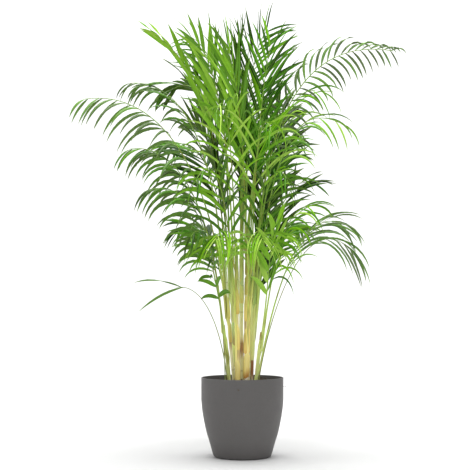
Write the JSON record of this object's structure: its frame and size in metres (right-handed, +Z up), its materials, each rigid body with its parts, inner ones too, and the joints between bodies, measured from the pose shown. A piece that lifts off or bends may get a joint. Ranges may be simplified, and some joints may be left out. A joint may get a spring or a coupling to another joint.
{
  "type": "potted areca palm",
  "caption": "Clustering feather palm with slim golden canes and arching fronds of narrow leaflets, rooted in potting soil in a plain round tapered pot",
  "frame": {"origin": "centre of the pot's flat underside", "axes": "+Z up from the underside through the pot's mouth, +X to the right and -Y to the front of the crown"},
  "size_m": [0.8886, 0.7256, 1.3044],
  "materials": {
    "pot": "matte charcoal plastic with a fine satin texture",
    "soil": "loose brown potting soil with fibres",
    "cane": "smooth waxy golden cane with ring scars",
    "leaf": "satin green leaf with fine lengthwise ribs"
  },
  "bodies": {
    "root": {"cover_pot": "pot", "potting_soil": "soil", "cane_1": "cane", "cane_2": "cane", "cane_3": "cane", "cane_4": "cane", "cane_5": "cane", "cane_6": "cane", "cane_7": "cane", "cane_8": "cane", "cane_9": "cane", "spear_1": "leaf", "spear_2": "leaf", "spear_3": "leaf", "frond_right_1": "leaf", "frond_right_2": "leaf", "frond_right_3": "leaf", "frond_right_4": "leaf", "frond_right_5": "leaf", "frond_right_6": "leaf", "frond_right_7": "leaf", "frond_right_8": "leaf", "frond_left_1": "leaf", "frond_left_2": "leaf", "frond_left_3": "leaf", "frond_left_4": "leaf", "frond_left_5": "leaf", "frond_left_6": "leaf", "frond_young_2": "leaf", "frond_left_7": "leaf", "frond_young_1": "leaf", "frond_top_1": "leaf", "frond_top_2": "leaf", "frond_top_3": "leaf", "frond_top_4": "leaf", "frond_top_5": "leaf", "frond_top_6": "leaf", "frond_front_1": "leaf", "frond_front_2": "leaf", "frond_front_3": "leaf", "frond_front_4": "leaf", "frond_low_1": "leaf", "frond_low_2": "leaf", "frond_inner_1": "leaf", "frond_inner_2": "leaf", "frond_inner_3": "leaf", "frond_inner_4": "leaf", "frond_back_1": "leaf", "frond_back_2": "leaf", "frond_back_3": "leaf", "frond_back_4": "leaf", "frond_back_5": "leaf"}
  },
  "joints": []
}
